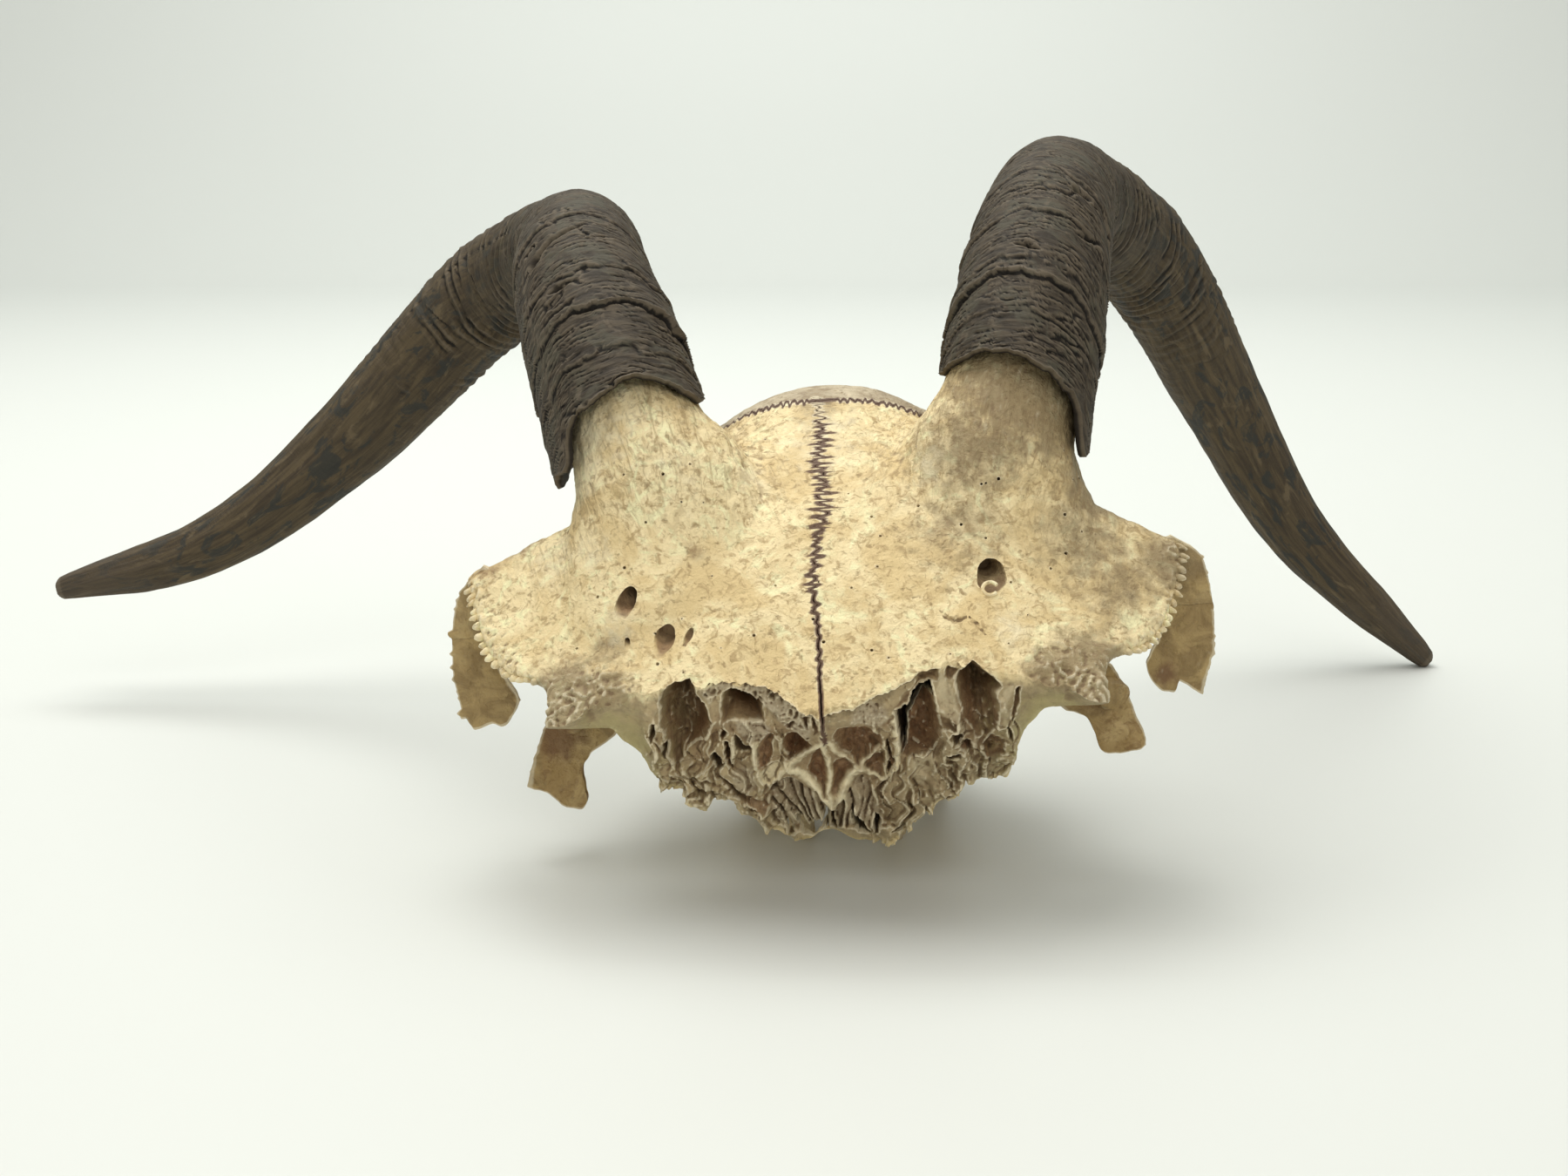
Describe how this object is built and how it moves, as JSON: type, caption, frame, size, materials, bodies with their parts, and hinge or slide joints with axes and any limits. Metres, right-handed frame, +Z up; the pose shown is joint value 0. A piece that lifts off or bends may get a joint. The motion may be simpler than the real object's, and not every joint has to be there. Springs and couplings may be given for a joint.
{
  "type": "goat skull",
  "caption": "Weathered goat cranium with both backswept horns, its face broken away at the nose, lying on its base with one horn tip on the table.",
  "frame": {"origin": "middle of the bounding box at table level", "axes": "+X to the animal's own left, along the spread of the horns; +Y back from the forehead to the nape; +Z up"},
  "size_m": [0.3414, 0.1978, 0.1332],
  "materials": {
    "forehead_bone": "dry weathered bone, matt, creamy yellow with brown mottling",
    "dome_bone": "dry grey-brown stained bone, matt",
    "base_bone": "dry rough bone, matt",
    "broken_bone": "broken, brown-stained spongy bone, matt",
    "amber_bone": "thin amber bone, faintly translucent, satin",
    "horn": "dry grey-brown horn, ringed, cracked and matt"
  },
  "bodies": {
    "root": {"frontal_left": "forehead_bone", "frontal_right": "forehead_bone", "parietal": "dome_bone", "occipital": "base_bone", "temporal_left": "amber_bone", "temporal_right": "amber_bone", "sphenoid": "base_bone", "ethmoid": "broken_bone", "postorbital_bar_left": "amber_bone", "postorbital_bar_right": "amber_bone", "horn_sheath_left": "horn", "horn_sheath_right": "horn"}
  },
  "joints": []
}
